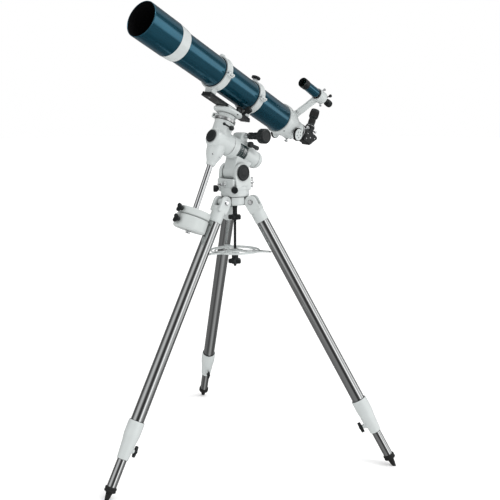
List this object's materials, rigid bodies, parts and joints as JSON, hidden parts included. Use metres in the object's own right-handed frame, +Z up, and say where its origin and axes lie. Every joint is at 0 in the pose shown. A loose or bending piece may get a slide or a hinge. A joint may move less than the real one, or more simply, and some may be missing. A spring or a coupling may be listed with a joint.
{
  "type": "refractor telescope on equatorial mount",
  "caption": "Refractor telescope with finder, diagonal and eyepiece on a German equatorial mount with counterweights, carried by a folding tripod with extending legs and an accessory tray.",
  "frame": {"origin": "middle of the overall footprint, on the floor", "axes": "+Z is up, the tube looks towards -Y and upwards, +X is the observer's right-hand side when looking along the tube from behind reversed: the finder and the right-ascension slow-motion knob are on the +X side"},
  "size_m": [1.0528, 1.0962, 1.5817],
  "materials": {
    "white_paint": "gloss white enamel on cast aluminium",
    "white_iron": "gloss white enamel on cast iron",
    "blue_paint": "deep teal-blue metallic gloss enamel on rolled aluminium",
    "black_plastic": "satin black moulded plastic",
    "satin_black_metal": "satin black anodised aluminium",
    "chrome": "polished plated steel tube and bar",
    "steel": "machined ring with engraved divisions",
    "black_rubber": "black moulded rubber",
    "lens_glass": "coated optical glass"
  },
  "bodies": {
    "base_frame": {"tripod_hub": "white_paint", "center_rod": "satin_black_metal"},
    "azimuth_head": {"mount_base": "white_paint", "latitude_pivot_cap": "black_plastic"},
    "ra_body": {"ra_housing": "white_paint", "polar_rear_cover": "white_paint"},
    "dec_body": {"dec_housing": "white_paint", "dec_setting_circle": "steel", "polar_front_cap": "black_plastic", "counterweight_shaft": "chrome"},
    "saddle_body": {"dec_saddle": "white_paint", "dovetail_bar": "satin_black_metal", "ring_front_lower": "white_paint", "ring_rear_lower": "white_paint"},
    "tube_body": {"main_tube": "blue_paint", "objective_cell": "white_paint", "objective_lens": "lens_glass", "focuser_housing": "white_paint"},
    "leg_1": {"leg_bracket_1": "white_paint", "leg_tube_1": "chrome", "leg_clamp_1": "white_paint"},
    "leg_lower_1": {"leg_extension_1": "chrome", "leg_foot_1": "black_rubber"},
    "leg_knob_1": {"leg_lock_knob_1": "black_plastic"},
    "leg_2": {"leg_bracket_2": "white_paint", "leg_tube_2": "chrome", "leg_clamp_2": "white_paint"},
    "leg_lower_2": {"leg_extension_2": "chrome", "leg_foot_2": "black_rubber"},
    "leg_knob_2": {"leg_lock_knob_2": "black_plastic"},
    "leg_3": {"leg_bracket_3": "white_paint", "leg_tube_3": "chrome", "leg_clamp_3": "white_paint"},
    "leg_lower_3": {"leg_extension_3": "chrome", "leg_foot_3": "black_rubber"},
    "leg_knob_3": {"leg_lock_knob_3": "black_plastic"},
    "tray": {"accessory_tray": "white_paint"},
    "tray_knob": {"tray_lock_knob": "black_plastic"},
    "mount_knob": {"mount_lock_knob": "black_plastic"},
    "az_knob_left": {"azimuth_knob_left": "black_plastic"},
    "az_knob_right": {"azimuth_knob_right": "black_plastic"},
    "lat_screw_front": {"latitude_screw_front": "chrome"},
    "lat_screw_rear": {"latitude_screw_rear": "chrome"},
    "ra_knob": {"ra_slow_motion_knob": "black_plastic"},
    "ra_lever": {"ra_lock_lever": "black_plastic"},
    "dec_lever": {"dec_lock_lever": "black_plastic"},
    "dec_knob": {"dec_slow_motion_knob": "black_plastic"},
    "weight_lower": {"counterweight_lower": "white_iron"},
    "weight_upper": {"counterweight_upper": "white_iron"},
    "weight_knob_lower": {"counterweight_knob_lower": "black_plastic"},
    "weight_knob_upper": {"counterweight_knob_upper": "black_plastic"},
    "ring_front_top": {"ring_front_upper": "white_paint"},
    "ring_rear_top": {"ring_rear_upper": "white_paint"},
    "dew_shield_body": {"dew_shield": "blue_paint"},
    "drawtube": {"focuser_drawtube": "satin_black_metal"},
    "focus_shaft": {"focus_knobs": "white_paint"},
    "diagonal": {"star_diagonal": "satin_black_metal", "eyepiece": "satin_black_metal"},
    "finder": {"finder_bracket": "white_paint", "finder_scope": "blue_paint"}
  },
  "joints": [
    {"name": "right_ascension", "type": "hinge", "parent": "ra_body", "child": "dec_body", "pos_m": [0, -0.0192, 1.1643], "axis": [0, -0.92, 0.392], "range_deg": [-30, 90]},
    {"name": "declination", "type": "hinge", "parent": "dec_body", "child": "saddle_body", "pos_m": [0, -0.0192, 1.1643], "axis": [0.0523, 0.3915, 0.9187], "range_deg": [-90, 90]},
    {"name": "latitude", "type": "hinge", "parent": "azimuth_head", "child": "ra_body", "pos_m": [0, 0.0548, 1.05], "axis": [-1, 0, 0], "range_deg": [-1, 25]},
    {"name": "azimuth", "type": "hinge", "parent": "base_frame", "child": "azimuth_head", "pos_m": [0, 0.0588, 0.97], "axis": [0, 0, 1], "range_deg": [-8, 8]},
    {"name": "tube_slide", "type": "slide", "parent": "saddle_body", "child": "tube_body", "axis": [-0.0957, 0.9177, -0.3856], "range_m": [-0.05, 0.06]},
    {"name": "focuser_drawtube_slide", "type": "slide", "parent": "tube_body", "child": "drawtube", "axis": [-0.0957, 0.9177, -0.3856], "range_m": [-0.008, 0.07]},
    {"name": "focus_knob_turn", "type": "hinge", "parent": "tube_body", "child": "focus_shaft", "pos_m": [-0.02423, 0.35823, 1.18162], "axis": [0.994, 0.0678, -0.0855], "range_deg": [-1010, 130]},
    {"name": "diagonal_turn", "type": "hinge", "parent": "drawtube", "child": "diagonal", "pos_m": [-0.031, 0.45135, 1.17672], "axis": [-0.0957, 0.9177, -0.3856], "range_deg": [-90, 90]},
    {"name": "leg_fold_1", "type": "hinge", "parent": "base_frame", "child": "leg_1", "pos_m": [0, -0.0042, 0.947], "axis": [1, 0, 0], "range_deg": [0, 19.5]},
    {"name": "leg_fold_2", "type": "hinge", "parent": "base_frame", "child": "leg_2", "pos_m": [0.05456, 0.0903, 0.947], "axis": [-0.5, 0.866, 0], "range_deg": [0, 19.5]},
    {"name": "leg_fold_3", "type": "hinge", "parent": "base_frame", "child": "leg_3", "pos_m": [-0.05456, 0.0903, 0.947], "axis": [-0.5, -0.866, 0], "range_deg": [0, 19.5]},
    {"name": "tray_drop", "type": "slide", "parent": "base_frame", "child": "tray", "axis": [0, 0, -1], "range_m": [0, 0.41]},
    {"name": "leg_extension_slide_1", "type": "slide", "parent": "leg_1", "child": "leg_lower_1", "axis": [0, -0.4933, -0.8698], "range_m": [-0.09, 0.3]},
    {"name": "leg_extension_slide_2", "type": "slide", "parent": "leg_2", "child": "leg_lower_2", "axis": [0.4272, 0.2467, -0.8698], "range_m": [-0.09, 0.3]},
    {"name": "leg_extension_slide_3", "type": "slide", "parent": "leg_3", "child": "leg_lower_3", "axis": [-0.4272, 0.2467, -0.8698], "range_m": [-0.09, 0.3]},
    {"name": "weight_lower_slide", "type": "slide", "parent": "dec_body", "child": "weight_lower", "axis": [0.0523, 0.3915, 0.9187], "range_m": [0, 0.08]},
    {"name": "weight_upper_slide", "type": "slide", "parent": "weight_lower", "child": "weight_upper", "axis": [0.0523, 0.3915, 0.9187], "range_m": [0, 0.075]},
    {"name": "ring_front_open", "type": "hinge", "parent": "saddle_body", "child": "ring_front_top", "pos_m": [0.08688, -0.04061, 1.37964], "axis": [-0.0957, 0.9177, -0.3856], "range_deg": [0, 100]},
    {"name": "ring_rear_open", "type": "hinge", "parent": "saddle_body", "child": "ring_rear_top", "pos_m": [0.06855, 0.13513, 1.3058], "axis": [-0.0957, 0.9177, -0.3856], "range_deg": [0, 100]},
    {"name": "dew_shield_pull", "type": "slide", "parent": "tube_body", "child": "dew_shield_body", "axis": [0.0957, -0.9177, 0.3856], "range_m": [0, 0.1]},
    {"name": "finder_slide", "type": "slide", "parent": "tube_body", "child": "finder", "axis": [-0.0957, 0.9177, -0.3856], "range_m": [0, 0.02]},
    {"name": "dec_lock_turn", "type": "hinge", "parent": "dec_body", "child": "dec_lever", "pos_m": [0.00241, -0.00119, 1.20656], "axis": [0.9986, -0.0205, -0.0481], "range_deg": [-40, 40]},
    {"name": "ra_lock_turn", "type": "hinge", "parent": "ra_body", "child": "ra_lever", "pos_m": [0, 0.09481, 1.14615], "axis": [1, 0, 0], "range_deg": [-40, 40]},
    {"name": "ra_slow_motion_turn", "type": "hinge", "parent": "ra_body", "child": "ra_knob", "pos_m": [0, 0.08936, 1.17674], "axis": [1, 0, 0], "continuous": true},
    {"name": "dec_slow_motion_turn", "type": "hinge", "parent": "dec_body", "child": "dec_knob", "pos_m": [-0.03865, 0.01378, 1.2417], "axis": [0, 0.92, -0.392], "continuous": true},
    {"name": "latitude_screw_front_feed", "type": "slide", "parent": "azimuth_head", "child": "lat_screw_front", "axis": [0, -1, 0], "range_m": [-0.002, 0.021]},
    {"name": "latitude_screw_rear_feed", "type": "slide", "parent": "azimuth_head", "child": "lat_screw_rear", "axis": [0, -1, 0], "range_m": [-0.002, 0.021]},
    {"name": "azimuth_knob_left_turn", "type": "hinge", "parent": "azimuth_head", "child": "az_knob_left", "pos_m": [-0.04243, 0.01637, 0.992], "axis": [-0.7071, -0.7071, 0], "continuous": true},
    {"name": "azimuth_knob_right_turn", "type": "hinge", "parent": "azimuth_head", "child": "az_knob_right", "pos_m": [0.04243, 0.01637, 0.992], "axis": [0.7071, -0.7071, 0], "continuous": true},
    {"name": "leg_knob_turn_1", "type": "hinge", "parent": "leg_1", "child": "leg_knob_1", "pos_m": [0, -0.41869, 0.1351], "axis": [0, 0.8698, -0.4933], "range_deg": [0, 90]},
    {"name": "leg_knob_turn_2", "type": "hinge", "parent": "leg_2", "child": "leg_knob_2", "pos_m": [0.41352, 0.29755, 0.1351], "axis": [-0.7533, -0.4349, -0.4933], "range_deg": [0, 90]},
    {"name": "leg_knob_turn_3", "type": "hinge", "parent": "leg_3", "child": "leg_knob_3", "pos_m": [-0.41352, 0.29755, 0.1351], "axis": [0.7533, -0.4349, -0.4933], "range_deg": [0, 90]},
    {"name": "mount_knob_turn", "type": "hinge", "parent": "base_frame", "child": "mount_knob", "pos_m": [0, 0.0588, 0.89], "axis": [0, 0, 1], "continuous": true},
    {"name": "tray_knob_turn", "type": "hinge", "parent": "tray", "child": "tray_knob", "pos_m": [0, 0.0588, 0.73], "axis": [0, 0, 1], "continuous": true},
    {"name": "weight_knob_lower_turn", "type": "hinge", "parent": "weight_lower", "child": "weight_knob_lower", "pos_m": [-0.01607, -0.2001, 0.90813], "axis": [0, -0.92, 0.392], "continuous": true},
    {"name": "weight_knob_upper_turn", "type": "hinge", "parent": "weight_upper", "child": "weight_knob_upper", "pos_m": [-0.01409, -0.1853, 0.94286], "axis": [0, -0.92, 0.392], "continuous": true}
  ],
  "couplings": [
    {"joint": "leg_fold_2", "follows": "leg_fold_1", "ratio": 1},
    {"joint": "leg_fold_3", "follows": "leg_fold_1", "ratio": 1},
    {"joint": "tray_drop", "follows": "leg_fold_1", "m_per_rad": 1.175},
    {"joint": "latitude_screw_front_feed", "follows": "latitude", "m_per_rad": 0.0382},
    {"joint": "latitude_screw_rear_feed", "follows": "latitude", "m_per_rad": 0.0382},
    {"joint": "focus_knob_turn", "follows": "focuser_drawtube_slide", "rad_per_m": -250}
  ]
}
